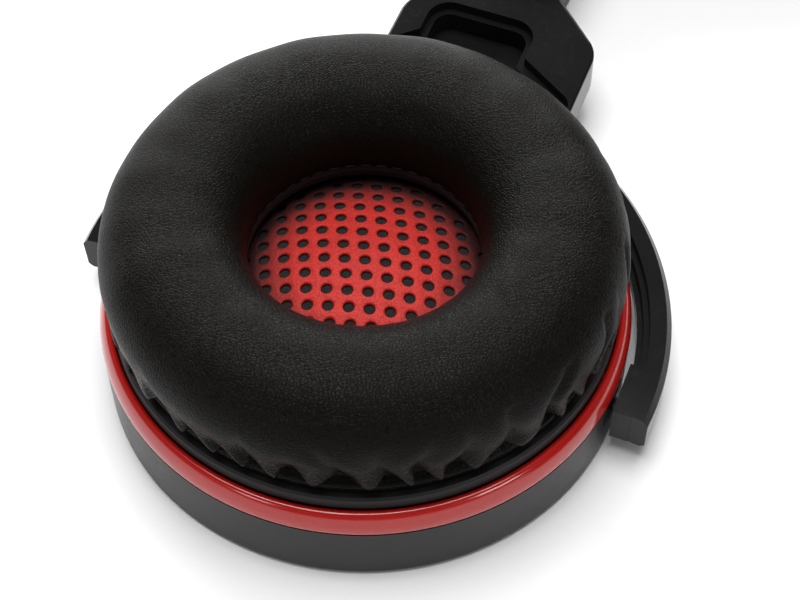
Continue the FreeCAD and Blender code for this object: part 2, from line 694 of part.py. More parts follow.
def mic_windscreen():
    """Foam cap over the capsule."""
    r, length, skin = SCREEN_R, SCREEN_LENGTH, CAPSULE_R + 0.05
    cap = spin(
        (skin, 0), (r - EDGE_ROUND, 0), ((r - EDGE_MID, EDGE_MID), (r, EDGE_ROUND)), (r, length - 5.0),
        crown(r, length - 5.0, 5.0), (0, CAPSULE_LENGTH - 2.9), (skin, CAPSULE_LENGTH - 2.9),
    )
    cap.rotate(V(), X, -90)
    cap.rotate(V(), Z, BOOM_TO)
    cap.translate(boom_end(NECK_LENGTH + 3.0))
    return cap


def cable_gland():
    """Rubber grommet in the shell's lower side, open for the cable."""
    part = spin(
        (GLAND_BORE_R, -3.4), (GLAND_R, -3.4), (GLAND_R, 0.3), (GLAND_FLANGE_R, 0.3),
        (GLAND_FLANGE_R, 1.6), ((3.9, 2.7), (3.2, 3.6)), (GLAND_BORE_R, 3.6),
    )
    part.rotate(V(), X, 90)
    part.translate(V(0, -CUP_R, PIVOT_Z))
    return part


def junction_board():
    """Small circuit board where the cable, the driver leads and the microphone leads meet."""
    board = box((-10, 10), (-33, -23), (4.0, 5.2))
    parts = [box((-8, -3), (-31.5, -27.5), (5.2, 7.4)), box((2, 7), (-30.5, -26), (5.2, 6.6))]
    return fuse(board, *parts)


# ---- Assembly ----


def lean(shape):
    """Moves a shape from the yoke's flat plane to its place at rest over the cup."""
    shape = shape.copy()
    shape.rotate(V(), X, LEAN)
    shape.translate(V(0, 0, PIVOT_Z))
    return shape


def at(shape, x):
    """Moves a shape from a cup's centre, or from midway between the cups, into the part's frame."""
    shape = shape.copy()
    shape.translate(V(x, 0, 0) - ORIGIN)
    return shape


def side_nodes(side, x, flip):
    """Every node of one cup, its yoke and its slider."""
    plain = {
        "cup_shell": cup_shell(with_gland=side == "left"),
        "outer_plate": outer_plate(),
        "outer_badge": outer_badge(),
        "trim_ring": trim_ring(),
        "accent_ring": accent_ring(),
        "baffle": baffle(),
        "driver_frame": driver_frame(),
        "driver_magnet": driver_magnet(),
        "voice_coil": voice_coil(),
        "diaphragm": diaphragm(),
        "mesh_foam": mesh_foam(),
        "speaker_mesh": speaker_mesh(),
        "ear_cushion": ear_cushion(),
        "pivot_pins": pivot_pins(),
        "baffle_screws": baffle_screws(),
    }
    leaning = {
        "yoke": yoke(), "yoke_cover": yoke_cover(), "yoke_screws": yoke_screws(),
        "slider": slider(), "swivel_shaft": swivel_shaft(),
    }
    nodes = {}
    for name, shape in plain.items():
        nodes[f"{side}_{name}"] = at(shape, x)
    for name, shape in leaning.items():
        nodes[f"{side}_{name}"] = at(lean(mirrored(shape) if flip else shape), x)
    return nodes


def build():
    nodes = side_nodes("right", -BAND_X, flip=False)
    nodes.update(side_nodes("left", BAND_X, flip=True))
    band = {
        "headband_shell": headband_shell(), "headband_spring": headband_spring(),
        "pad_carrier": pad_carrier(), "headband_pad": headband_pad(),
        "left_cap_outer": cap_outer(), "left_cap_inner": cap_inner(),
        "right_cap_outer": mirrored(cap_outer()), "right_cap_inner": mirrored(cap_inner()),
        "cap_screws": cap_screws(), "detent_springs": detent_springs(),
    }
    for name, shape in band.items():
        nodes[name] = at(lean(shape), 0)
    left_cup = {
        "mic_mount": mic_mount(), "mic_hub": mic_hub(), "mic_pin": mic_pin(), "mic_arm": mic_arm(),
        "mic_gooseneck": mic_gooseneck(), "mic_capsule": mic_capsule(), "mic_windscreen": mic_windscreen(),
        "cable_gland": cable_gland(), "junction_board": junction_board(),
    }
    for name, shape in left_cup.items():
        nodes[name] = at(shape, BAND_X)
    return nodes


def main():
    os.makedirs("parts", exist_ok=True)
    nodes = build()
    whole = FreeCAD.BoundBox()
    for name, shape in nodes.items():
        if not shape.isValid() or shape.Volume <= 0:
            print("check", name, shape.isValid(), round(shape.Volume, 1))
        whole.add(shape.BoundBox)
        shape.exportStep(f"parts/{name}.step")
    print(len(nodes), "nodes, lean", round(LEAN, 3), "degrees, box", whole)


if __name__ == "__main__":
    main()
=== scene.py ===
import math
import bmesh
import bpy
import numpy as np
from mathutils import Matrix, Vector
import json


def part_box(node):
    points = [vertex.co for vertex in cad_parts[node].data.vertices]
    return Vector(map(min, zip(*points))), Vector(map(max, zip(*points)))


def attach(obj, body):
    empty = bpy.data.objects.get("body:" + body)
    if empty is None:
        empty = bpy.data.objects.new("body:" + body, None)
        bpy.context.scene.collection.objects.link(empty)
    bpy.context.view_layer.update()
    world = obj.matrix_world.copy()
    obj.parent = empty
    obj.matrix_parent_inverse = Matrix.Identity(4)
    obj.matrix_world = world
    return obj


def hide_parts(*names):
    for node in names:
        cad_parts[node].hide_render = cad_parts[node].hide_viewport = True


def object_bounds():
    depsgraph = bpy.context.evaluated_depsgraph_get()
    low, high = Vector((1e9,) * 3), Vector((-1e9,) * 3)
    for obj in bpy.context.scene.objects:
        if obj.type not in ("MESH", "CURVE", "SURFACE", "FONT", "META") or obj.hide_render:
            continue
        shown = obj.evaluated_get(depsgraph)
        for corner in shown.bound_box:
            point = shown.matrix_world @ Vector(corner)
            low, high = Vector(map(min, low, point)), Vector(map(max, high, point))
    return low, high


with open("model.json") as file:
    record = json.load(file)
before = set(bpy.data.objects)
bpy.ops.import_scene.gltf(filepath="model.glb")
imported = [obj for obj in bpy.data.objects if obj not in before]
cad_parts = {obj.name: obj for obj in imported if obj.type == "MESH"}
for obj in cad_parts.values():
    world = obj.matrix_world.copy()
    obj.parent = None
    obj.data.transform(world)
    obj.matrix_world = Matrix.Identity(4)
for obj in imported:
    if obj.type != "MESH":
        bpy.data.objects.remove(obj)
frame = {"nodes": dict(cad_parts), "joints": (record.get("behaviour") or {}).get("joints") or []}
cad_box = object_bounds()
nodes = frame["nodes"]
MM = 0.001

# ---- Cup shells ----
# Each shell is one injection moulding in dark grey satin ABS: a round dish that holds everything else.
# The mould is lightly spark-eroded, so the wall has a fine grain and uneven gloss from handling.

NOISE_SPAN = (0.3, 0.7)  # where nearly all of a noise texture's values lie
TINY = 1e-9  # keeps a division off nought


def add(tree, kind, inputs=None, **settings):
    """A shader node with its settings. An input is a value, or a socket to link from."""
    node = tree.nodes.new("ShaderNode" + kind)
    for key, value in settings.items():
        setattr(node, key, value)
    for key, value in (inputs or {}).items():
        if isinstance(value, bpy.types.NodeSocket):
            tree.links.new(value, node.inputs[key])
        else:
            node.inputs[key].default_value = value
    return node


def remap(tree, value, span, onto=(0.0, 1.0), curve="LINEAR"):
    """A socket's values carried from one span onto another, and held there at the ends."""
    inputs = {0: value, 1: span[0], 2: span[1], 3: onto[0], 4: onto[1]}
    return add(tree, "MapRange", inputs, interpolation_type=curve).outputs[0]


def maths(tree, operation, *values):
    """One sum on up to three sockets or numbers."""
    return add(tree, "Math", dict(enumerate(values)), operation=operation).outputs[0]


def scaled(tree, vector, amount):
    """A vector or colour times a number."""
    return add(tree, "VectorMath", {0: vector, "Scale": amount}, operation="SCALE").outputs[0]


def noise(tree, place, scale, detail, **more):
    """Outputs of fractal noise at a place."""
    return add(tree, "TexNoise", {"Vector": place, "Scale": scale, "Detail": detail, **more}).outputs


def wandered(tree, place, scale, detail, reach):
    """A place pushed about by noise, so that a regular pattern laid on it looks hand-made."""
    push = scaled(tree, noise(tree, place, scale, detail)["Color"], reach)
    return add(tree, "VectorMath", {0: place, 1: push}, operation="ADD").outputs[0]


def new_group(name, *amounts):
    """An empty node group for a surface: its tree, inner inputs and inner outputs."""
    group = bpy.data.node_groups.new(name, "ShaderNodeTree")
    inputs = {"Vector": "Vector", "Colour": "Color", "Roughness": "Float"}
    inputs.update(dict.fromkeys(amounts, "Float"))
    outputs = {"Colour": "Color", "Roughness": "Float", "Height": "Float"}
    for way, sockets in (("INPUT", inputs), ("OUTPUT", outputs)):
        for label, kind in sockets.items():
            group.interface.new_socket(label, in_out=way, socket_type="NodeSocket" + kind)
    return group, group.nodes.new("NodeGroupInput").outputs, group.nodes.new("NodeGroupOutput").inputs


def close_group(group, out, colour, roughness, height):
    """Links a surface's three results to its group's outputs."""
    for label, socket in (("Colour", colour), ("Roughness", roughness), ("Height", height)):
        group.links.new(socket, out[label])
    return group


def moulded_face_group():
    """Grain of a moulded face: fine noise for the grain, and broad noise that shifts colour and gloss."""
    group, given, out = new_group("moulded_face", "Grain Scale", "Wear")
    place = given["Vector"]
    grain = noise(group, place, given["Grain Scale"], 3.0)["Fac"]
    broad = noise(group, place, 55.0, 4.0, Roughness=0.6)["Fac"]
    scuff = noise(group, place, 420.0, 6.0, Distortion=1.5)["Fac"]
    rubbed = maths(group, "MULTIPLY", remap(group, scuff, (0.52, 0.74)), given["Wear"])
    mottle = remap(group, broad, NOISE_SPAN, (-0.3, 0.3))
    lift = maths(group, "MULTIPLY_ADD", mottle, given["Wear"], 1.0)
    shade = maths(group, "MULTIPLY_ADD", rubbed, 0.5, lift)
    gloss = remap(group, broad, NOISE_SPAN, (0.88, 1.14))
    rough = maths(group, "MULTIPLY", given["Roughness"], gloss)
    worn = maths(group, "MULTIPLY_ADD", rubbed, 0.16, rough)
    return close_group(group, out, scaled(group, given["Colour"], shade), worn, grain)


moulded_face = moulded_face_group()


def surface_material(name, group, colour, values, bump_mm, shader_values=None):
    """A Principled material whose colour, roughness and relief come from a group on Object coordinates."""
    material = bpy.data.materials.new(name)
    material.use_nodes = True
    tree = material.node_tree
    shader = tree.nodes["Principled BSDF"]
    for key, value in (shader_values or {}).items():
        shader.inputs[key].default_value = value
    place = add(tree, "TexCoord")
    effect = add(tree, "Group", node_tree=group)
    tree.links.new(place.outputs["Object"], effect.inputs["Vector"])
    effect.inputs["Colour"].default_value = (*colour, 1.0)
    for key, value in values.items():
        effect.inputs[key].default_value = value
    relief = add(tree, "Bump", {"Height": effect.outputs["Height"], "Distance": bump_mm * MM})
    tree.links.new(effect.outputs["Colour"], shader.inputs["Base Color"])
    tree.links.new(effect.outputs["Roughness"], shader.inputs["Roughness"])
    tree.links.new(relief.outputs[0], shader.inputs["Normal"])
    return material


def box_of(node):
    """Low and high corner of a CAD node's box."""
    return (np.array(corner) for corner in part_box(node))


def paint(material, *names):
    """Gives CAD nodes their finished material."""
    for name in names:
        nodes[name].data.materials.clear()
        nodes[name].data.materials.append(material)


SIDES = {"right": 1.0, "left": -1.0}  # the left-ear cup is the mirror image
cup_centre = {}
for side in SIDES:
    low, high = box_of(f"{side}_cup_shell")
    cup_centre[side] = np.array([(low[0] + high[0]) / 2, (low[1] + high[1]) / 2, low[2]])

satin_plastic = surface_material(
    "satin_plastic", moulded_face, (0.013, 0.012, 0.0115),
    {"Roughness": 0.34, "Grain Scale": 2600.0, "Wear": 0.35}, 0.012, {"Specular IOR Level": 0.2},
)
paint(satin_plastic, *[f"{side}_cup_shell" for side in SIDES])

# ---- Outer plates, badges and trim rings ----
# A slotted black disc snaps into the shell's outer face, with a thin red ring bonded round its edge.
# The plain red badge in the middle is a separate gloss moulding stuck into the plate.

matt_plastic = surface_material(
    "matt_plastic", moulded_face, (0.012, 0.012, 0.013),
    {"Roughness": 0.52, "Grain Scale": 1900.0, "Wear": 0.35}, 0.02, {"Specular IOR Level": 0.3},
)
gloss_red = surface_material(
    "gloss_red", moulded_face, (0.44, 0.009, 0.006),
    {"Roughness": 0.17, "Grain Scale": 380.0, "Wear": 0.12}, 0.002,
    {"Coat Weight": 0.35, "Coat Roughness": 0.06},
)
for side in SIDES:
    paint(matt_plastic, f"{side}_outer_plate")
    paint(gloss_red, f"{side}_outer_badge", f"{side}_trim_ring")

# ---- Accent rings ----
# A gloss red ring is clamped between the shell and the baffle. Its face is slightly convex and its
# edges are softened where the mould halves met, which is what catches the lights.

RING_TOP_R = 43.7 * MM
RING_BULGE = 0.42 * MM
RING_EDGE = 0.22 * MM  # how far both edges are rounded back
RING_LOW_SPAN, RING_HIGH_SPAN = 0.035, 0.05  # share of the face that each rounding takes
RING_SINK = 2.2 * MM  # depth of the face in front of the ring's inner wall
WELD = 1e-6


def piece(name, points, quads, material):
    """A smooth closed mesh from points and quads, with its poles merged and its faces turned outwards."""
    mesh = bpy.data.meshes.new(name)
    mesh.from_pydata(points.reshape(-1, 3).tolist(), [], quads.tolist())
    work = bmesh.new()
    work.from_mesh(mesh)
    bmesh.ops.remove_doubles(work, verts=work.verts, dist=WELD)
    bmesh.ops.dissolve_degenerate(work, edges=work.edges, dist=WELD / 10)
    bmesh.ops.recalc_face_normals(work, faces=work.faces)
    work.to_mesh(mesh)
    work.free()
    mesh.shade_smooth()
    mesh.materials.append(material)
    obj = bpy.data.objects.new(name, mesh)
    bpy.context.scene.collection.objects.link(obj)
    return obj


def grid_quads(rows, columns, wrap_rows=True, wrap_columns=True):
    """Corner numbers of the quads between neighbouring points of a grid, joined up where it wraps."""
    number = np.arange(rows * columns).reshape(rows, columns)
    number = np.vstack([number, number[:1]]) if wrap_rows else number
    number = np.hstack([number, number[:, :1]]) if wrap_columns else number
    corners = (number[:-1, :-1], number[1:, :-1], number[1:, 1:], number[:-1, 1:])
    return np.stack(corners, axis=-1).reshape(-1, 4)


def revolve(name, base, axis, profile, material, turns=192, closed=True):
    """Surface of revolution: each (radius, distance) of the profile goes round the axis from base."""
    axis = np.array(axis, float) / np.linalg.norm(axis)
    helper = np.array([1.0, 0, 0]) if abs(axis[0]) < 0.9 else np.array([0, 1.0, 0])
    across = np.cross(axis, helper)
    across /= np.linalg.norm(across)
    beside = np.cross(axis, across)
    angle = np.linspace(0, 2 * math.pi, turns, endpoint=False)[:, None, None]
    radius, along = profile[None, :, 0, None], profile[None, :, 1, None]
    points = base + along * axis + radius * (np.cos(angle) * across + np.sin(angle) * beside)
    return piece(name, points, grid_quads(turns, len(profile), wrap_columns=closed), material)


for side in SIDES:
    low, high = box_of(f"{side}_accent_ring")
    wide, tall = (high[0] - low[0]) / 2, high[2] - low[2]
    t = np.linspace(0, 1, 15)
    face_r = wide + (RING_TOP_R - wide) * t + RING_BULGE * 4 * t * (1 - t)
    face_r -= RING_EDGE * (np.exp(-t / RING_LOW_SPAN) + np.exp(-(1 - t) / RING_HIGH_SPAN))
    inner = np.array([[wide - RING_SINK, tall - RING_EDGE], [wide - RING_SINK, RING_EDGE]])
    profile = np.vstack([np.column_stack([face_r, t * tall]), inner])
    ring = revolve(
        f"{side}_red_ring", cup_centre[side] + np.array([0, 0, low[2]]), (0, 0, 1), profile, gloss_red, 256
    )
    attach(ring, f"{side}_cup")
    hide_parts(f"{side}_accent_ring")

# ---- Baffles, drivers and their screws ----
# The baffle is a flat matt moulding screwed into the cup with the sound holes and the cushion's lip.
# Behind it sits the 40 mm driver: plastic basket, steel magnet cup, copper coil and clear film dome.


def metal_group():
    """Drawn steel: noise stretched along Z for the draw lines, and broad noise for the dulling."""
    group, given, out = new_group("drawn_metal", "Line Scale")
    stretch = add(group, "Mapping", {"Vector": given["Vector"], "Scale": (1.0, 1.0, 0.04)})
    lines = noise(group, stretch.outputs[0], given["Line Scale"], 4.0)["Fac"]
    broad = noise(group, given["Vector"], 120.0, 3.0)["Fac"]
    lift = remap(group, lines, NOISE_SPAN, (0.82, 1.12))
    rough = maths(group, "MULTIPLY", given["Roughness"], remap(group, broad, NOISE_SPAN, (0.8, 1.3)))
    return close_group(group, out, scaled(group, given["Colour"], lift), rough, lines)


drawn_metal = metal_group()
steel = surface_material(
    "steel", drawn_metal, (0.56, 0.57, 0.59), {"Roughness": 0.3, "Line Scale": 2200.0}, 0.004,
    {"Metallic": 1.0},
)
black_steel = surface_material(
    "black_steel", drawn_metal, (0.05, 0.05, 0.055), {"Roughness": 0.38, "Line Scale": 1800.0}, 0.004,
    {"Metallic": 1.0},
)
copper = surface_material(
    "copper_wire", drawn_metal, (0.72, 0.34, 0.19), {"Roughness": 0.28, "Line Scale": 5200.0}, 0.02,
    {"Metallic": 1.0},
)
film = surface_material(
    "driver_film", moulded_face, (0.34, 0.27, 0.13),
    {"Roughness": 0.16, "Grain Scale": 700.0, "Wear": 0.1}, 0.01,
)
board_green = surface_material(
    "circuit_board", moulded_face, (0.02, 0.15, 0.05),
    {"Roughness": 0.35, "Grain Scale": 900.0, "Wear": 0.3}, 0.01,
)
for side in SIDES:
    paint(matt_plastic, f"{side}_baffle", f"{side}_driver_frame")
    paint(steel, f"{side}_driver_magnet")
    paint(black_steel, f"{side}_pivot_pins", f"{side}_baffle_screws")
    paint(copper, f"{side}_voice_coil")
    paint(film, f"{side}_diaphragm")
paint(board_green, "junction_board")

# ---- Speaker cloths ----
# Red knitted air mesh is stretched over a foam dome in front of each driver. Its round holes are open
# and lie in slanted rows, because the knit is pulled askew as it is glued down over the dome.

ROW_PITCH, ROW_ANGLE = 3.42 * MM, math.radians(14.4)
COLUMN_PITCH, COLUMN_ANGLE = 3.15 * MM, math.radians(116.7)
ROW_STEP = ROW_PITCH * np.array([math.cos(ROW_ANGLE), math.sin(ROW_ANGLE)])
COLUMN_STEP = COLUMN_PITCH * np.array([math.cos(COLUMN_ANGLE), math.sin(COLUMN_ANGLE)])
CELLS_OUT = 10  # cells to each side of the middle, enough to reach the rim
HOLE_R = 0.98 * MM
LIP = [(1.0, 1.0), (0.965, 0.72), (1.0, 0.38), (1.09, 0.13), (1.26, 0.02)]  # shares of hole size, thickness
CLOTH_T = 0.6 * MM
HOLE_LIMIT = 20.6 * MM  # cells further out than this are whole
HEM_GAP, CELL_MARGIN = 0.2 * MM, 1.5 * MM
EDGE_DROP = 0.7 * MM  # from the dome's rim up to where the cloth's own height is measured
HOLE_POINTS = 24
RIM_SHADE_FROM, RIM_SHADE_TO = 11.5 * MM, 18.8 * MM  # painted shade: the cloth's colour darkens between these radii towards its rim, standing in for the cushion wall's shadow


def knit_group():
    """Knitted cloth: rounded cells for the loops, noise for stray fibres and colour, and painted shade that
    darkens it by the given rim-shade amount.
    """
    group, given, out = new_group("knit_cloth", "Loop Scale", "Rim Shade")
    place = wandered(group, given["Vector"], 900.0, 2.0, 0.0006)
    loops = add(group, "TexVoronoi", {"Vector": place, "Scale": given["Loop Scale"], "Randomness": 0.55})
    loop_top = remap(group, loops.outputs["Distance"], (0.0, 0.75), (1.0, 0.0))
    fibre = noise(group, given["Vector"], 5200.0, 3.0)["Fac"]
    height = maths(group, "MULTIPLY_ADD", fibre, 0.35, loop_top)
    lift = remap(group, height, (0.2, 1.2), (0.62, 1.2))
    # Painted shade: the colour falls to 6% where the rim-shade amount is one, standing in for shadow.
    rim_shaded = remap(group, given["Rim Shade"], (0.0, 1.0), (1.0, 0.06))
    colour = scaled(group, given["Colour"], maths(group, "MULTIPLY", lift, rim_shaded))
    between_loops = remap(group, loop_top, (0.0, 1.0), (0.14, 0.0))
    rough = maths(group, "ADD", given["Roughness"], between_loops)
    return close_group(group, out, colour, rough, height)


def feed(material, attribute, socket):
    """Links a map stored on the mesh to an input of the material's group."""
    tree = material.node_tree
    effect = next(node for node in tree.nodes if node.bl_idname == "ShaderNodeGroup")
    tree.links.new(add(tree, "Attribute", attribute_name=attribute).outputs["Fac"], effect.inputs[socket])


knit_cloth = knit_group()
red_mesh = surface_material(
    "red_air_mesh", knit_cloth, (0.66, 0.020, 0.012), {"Roughness": 0.62, "Loop Scale": 2600.0}, 0.06,
    {"Sheen Weight": 0.12, "Sheen Roughness": 0.4, "Sheen Tint": (1.0, 0.35, 0.3, 1.0)},
)
# Painted shade at the cloth's rim, read from a map stored on the mesh.
feed(red_mesh, "rim_shade", "Rim Shade")
foam_black = surface_material(
    "foam_black", knit_cloth, (0.014, 0.012, 0.012), {"Roughness": 0.85, "Loop Scale": 1700.0}, 0.12
)


def corners_of(obj):
    """Vertex places of a piece, one row each."""
    spots = np.empty(len(obj.data.vertices) * 3)
    obj.data.vertices.foreach_get("co", spots)
    return spots.reshape(-1, 3)


def store_map(obj, attribute, values):
    """Keeps a number for each vertex, which the material reads."""
    store = obj.data.attributes.new(attribute, "FLOAT", "POINT")
    store.data.foreach_set("value", values.astype(np.float32))


def mesh_cloth(name, node, centre, mirror):
    """Cloth of slanted cells with one hole each. Rings of points run from each hole's edge, which
    turns down through the cloth, to the cell's border, and every point is lifted onto a sphere."""
    low, high = box_of(node)
    cloth_r, edge_z, top_z = (high[0] - low[0]) / 2, low[2] + EDGE_DROP, high[2]
    rise = top_z - edge_z
    sphere_r = (cloth_r**2 + rise**2) / (2 * rise)
    steps = np.arange(-CELLS_OUT, CELLS_OUT + 1)
    across, along = (a.ravel()[:, None, None, None] for a in np.meshgrid(steps, steps))
    cells = across * ROW_STEP + along * COLUMN_STEP
    keep = np.linalg.norm(cells, axis=-1).ravel() < cloth_r + CELL_MARGIN
    cells = cells[keep]
    side_t = np.linspace(-0.5, 0.5, HOLE_POINTS // 4, endpoint=False)
    half = np.full_like(side_t, 0.5)
    border = np.vstack([
        np.column_stack([half, side_t]), np.column_stack([-side_t, half]),
        np.column_stack([-half, -side_t]), np.column_stack([side_t, -half]),
    ])
    border = border @ np.array([ROW_STEP, COLUMN_STEP])
    ray = border / np.linalg.norm(border, axis=1, keepdims=True)
    rings = [(ray * HOLE_R * wide, deep * CLOTH_T) for wide, deep in LIP] + [(border, 0.0)]
    flat = np.stack([ring for ring, _ in rings])[None]
    deep = np.array([drop for _, drop in rings])[None, :, None]
    is_open = (np.linalg.norm(cells, axis=-1) < HOLE_LIMIT)[:, 0, 0][:, None, None, None]
    shut = np.concatenate([flat[:, -1:] * s for s in np.linspace(0.0, 1.0, len(rings))], axis=1)
    spot = cells + np.where(is_open, flat, shut)
    deep = np.where(is_open[..., 0], deep, 0.0) + np.zeros(spot.shape[:3])
    reach = np.linalg.norm(spot, axis=-1)
    spot = spot * np.minimum(1.0, (cloth_r - HEM_GAP) / np.maximum(reach, TINY))[..., None]
    reach = np.minimum(reach, cloth_r - HEM_GAP)
    height = top_z - sphere_r + np.sqrt(sphere_r**2 - reach**2) - deep
    points = np.stack([centre[0] + mirror * spot[..., 0], centre[1] + spot[..., 1], height], axis=-1)
    quads = grid_quads(len(rings), HOLE_POINTS, wrap_rows=False)
    per_cell = len(rings) * HOLE_POINTS
    quads = (quads[None] + per_cell * np.arange(len(cells))[:, None, None]).reshape(-1, 4)
    cloth = piece(name, points, quads, red_mesh)
    spots = corners_of(cloth) - centre
    reach = np.hypot(spots[:, 0], spots[:, 1])
    # Painted shade: the cloth darkens towards its rim, standing in for the shadow of the cushion's wall.
    store_map(cloth, "rim_shade", np.clip((reach - RIM_SHADE_FROM) / (RIM_SHADE_TO - RIM_SHADE_FROM), 0, 1))
    return cloth


for side, mirror in SIDES.items():
    cloth = mesh_cloth(f"{side}_red_cloth", f"{side}_speaker_mesh", cup_centre[side], mirror)
    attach(cloth, f"{side}_cup")
    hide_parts(f"{side}_speaker_mesh")
    paint(foam_black, f"{side}_mesh_foam")

# ---- Ear cushions ----
# A ring of soft foam in black leatherette. The cover is one panel pulled over the ring and gathered
# into its hem, which hooks over the baffle's lip, so the lower outer face is all slanted pleats.
# Inside, the leatherette is sewn to a matt cloth wall with a line of stitches.

TUBE_R, TUBE_Z = 31.2 * MM, 29.0 * MM
TUBE_WIDE, TUBE_TALL = 12.0 * MM, 11.0 * MM
HEM_R, HEM_Z = 41.25 * MM, 19.62 * MM
PLEATS = 46
PLEAT_DEPTH = 3.6 * MM
PLEAT_PUFF = 0.8 * MM
TIP_RISE = 3.0 * MM  # from the hem to the lowest point of a fold
TOOTH, TUCK = 4.2 * MM, 1.9 * MM  # how far each fold's lower edge rises at its creases, and its undercut
AROUND = 560  # points round the cushion
SIDE_FOOT = np.array([41.6, 21.2]) * MM  # where the hem ends and the outer flank begins
SIDE_PULL = np.array([42.5, 24.0]) * MM
WALL_PULL, WALL_FOOT = np.array([19.2, 21.6]) * MM, np.array([21.4, 21.5]) * MM
BOTTOM_IN_R, BOTTOM_OUT_R = 30.0 * MM, 41.15 * MM
SQUARENESS = 0.94  # power below one that makes the round section slightly boxy
PLEAT_SEED, LAY = 21, math.radians(23)  # LAY is the side of the ring where pleats lean most
UNEVEN = 0.24  # how far a crease may sit from its even place, as a share of the pitch
CLIMBS, DEPTHS = (0.75, 1.45), (0.65, 1.0)  # least and most, as shares of the usual crease
LEAN_MEAN, LEAN_SWING = -1.5 * MM, 7.5 * MM
WAVER = 0.02  # radians that a crease wanders sideways
LOPSIDED, SHARP, SHARPER = 0.45, 1.1, 0.9  # shape of a crease; the last two add up at LAY
REACH, REACH_SWING = 1.3, 0.35  # height of a crease as a share of the flank
PUFF_AT, PUFF_SPAN = 0.42, 0.24  # as shares of the flank
TUCK_SPAN, HEM_SPAN, FOLD_END = 0.7 * MM, 0.8 * MM, 1.6
SEWN_TOP, LIP_CLEAR_Z, LIP_CLEAR_R = 22.0 * MM, 22.2 * MM, 41.12 * MM  # round the baffle's lip
FOLD_TOP, GROW_TOP = 5.5 * MM, 3.0 * MM  # above the middle of the section
CREASE_HELD = 0.35  # share of the pleat's depth past which a crease is sewn fast
SLACK_WAVES = ((0.10, 5, 1.0), (0.08, 11, 2.6), (0.05, 23, 0.4))  # size, waves round the ring, start
SLACK_WIDE, SLACK_TALL = 0.5 * MM, 1.3 * MM
BEAD, BEAD_SPAN = 0.45 * MM, 0.5 * MM  # ridge along the inner seam
FILL_FRAMES, POINT_MASS, STIFFNESS, PRESSURE = 14, 0.003, 0.4, 4.0  # of the cloth simulation
COVER_GROWTH, COVER_REACH = 0.14, 1.4 * MM
SEAM_Z, WALL_CLOTH_R = 25.6 * MM, 26.0 * MM  # the wall's cloth is below the seam and within this radius
STITCH_STEP, STITCH_LENGTH, STITCH_R = 2.7 * MM, 1.9 * MM, 0.16 * MM


def leather_group():
    """Leatherette grain: pebbles from the distance to the nearest cell edge, broken up by noise."""
    group, given, out = new_group("leather_grain", "Pebble Scale", "Stretch")
    place = wandered(group, given["Vector"], 700.0, 3.0, 0.0007)
    scale = {"Vector": place, "Scale": given["Pebble Scale"]}
    cells = add(group, "TexVoronoi", scale, feature="DISTANCE_TO_EDGE")
    pebble = remap(group, cells.outputs["Distance"], (0.0, 0.22), curve="SMOOTHSTEP")
    fine = noise(group, given["Vector"], 4200.0, 3.0)["Fac"]
    broad = noise(group, given["Vector"], 70.0, 3.0)["Fac"]
    height = maths(group, "MULTIPLY_ADD", fine, 0.5, pebble)
    lift = remap(group, pebble, (0.0, 1.0), (0.55, 1.05))
    rough = maths(group, "MULTIPLY", given["Roughness"], remap(group, broad, NOISE_SPAN, (0.9, 1.12)))
    polish = remap(group, given["Stretch"], (0.0, 1.0), (1.0, 0.62))
    shiny = maths(group, "MULTIPLY", rough, polish)
    return close_group(group, out, scaled(group, given["Colour"], lift), shiny, height)


leather_grain = leather_group()
leatherette = surface_material(
    "leatherette", leather_grain, (0.0055, 0.0048, 0.0037),
    {"Roughness": 0.4, "Pebble Scale": 1750.0}, 0.06, {"Specular IOR Level": 0.07},
)
feed(leatherette, "stretch", "Stretch")
wall_cloth = surface_material(
    "wall_cloth", knit_cloth, (0.013, 0.012, 0.011), {"Roughness": 0.8, "Loop Scale": 2400.0}, 0.05
)
thread = surface_material(
    "thread", knit_cloth, (0.045, 0.042, 0.038), {"Roughness": 0.6, "Loop Scale": 4200.0}, 0.03
)


def bend(start, through, end, count):
    """Points of a quadratic curve from start to end, pulled towards a third point."""
    t = np.linspace(0, 1, count)[:, None]
    return (1 - t) ** 2 * np.array(start) + 2 * t * (1 - t) * np.array(through) + t**2 * np.array(end)


def cushion_profile():
    """Section of the ring as (radius, height): hem, outer flank, round top, inner wall, flat bottom.
    The second value is the number of the row where the inner wall starts."""
    a = np.linspace(0, math.pi, 48)
    top_r = TUBE_R + TUBE_WIDE * np.sign(np.cos(a)) * np.abs(np.cos(a)) ** SQUARENESS
    top = np.column_stack([top_r, TUBE_Z + TUBE_TALL * np.sin(a) ** SQUARENESS])
    skirt = bend((HEM_R, HEM_Z), (HEM_R, HEM_Z + 0.98 * MM), SIDE_FOOT, 10)
    flank = bend(SIDE_FOOT, SIDE_PULL, (TUBE_R + TUBE_WIDE, TUBE_Z), 34)
    wall = bend((TUBE_R - TUBE_WIDE, TUBE_Z), WALL_PULL, WALL_FOOT, 18)
    bottom = np.array([[BOTTOM_IN_R, WALL_FOOT[1]], [BOTTOM_OUT_R, WALL_FOOT[1]]])
    outside = np.vstack([skirt[:-1], flank[:-1], top])
    return np.vstack([outside, wall[1:], bottom]), len(outside)


def smooth(share):
    """A share held between nought and one, with soft ends."""
    share = np.clip(share, 0, 1)
    return share * share * (3 - 2 * share)


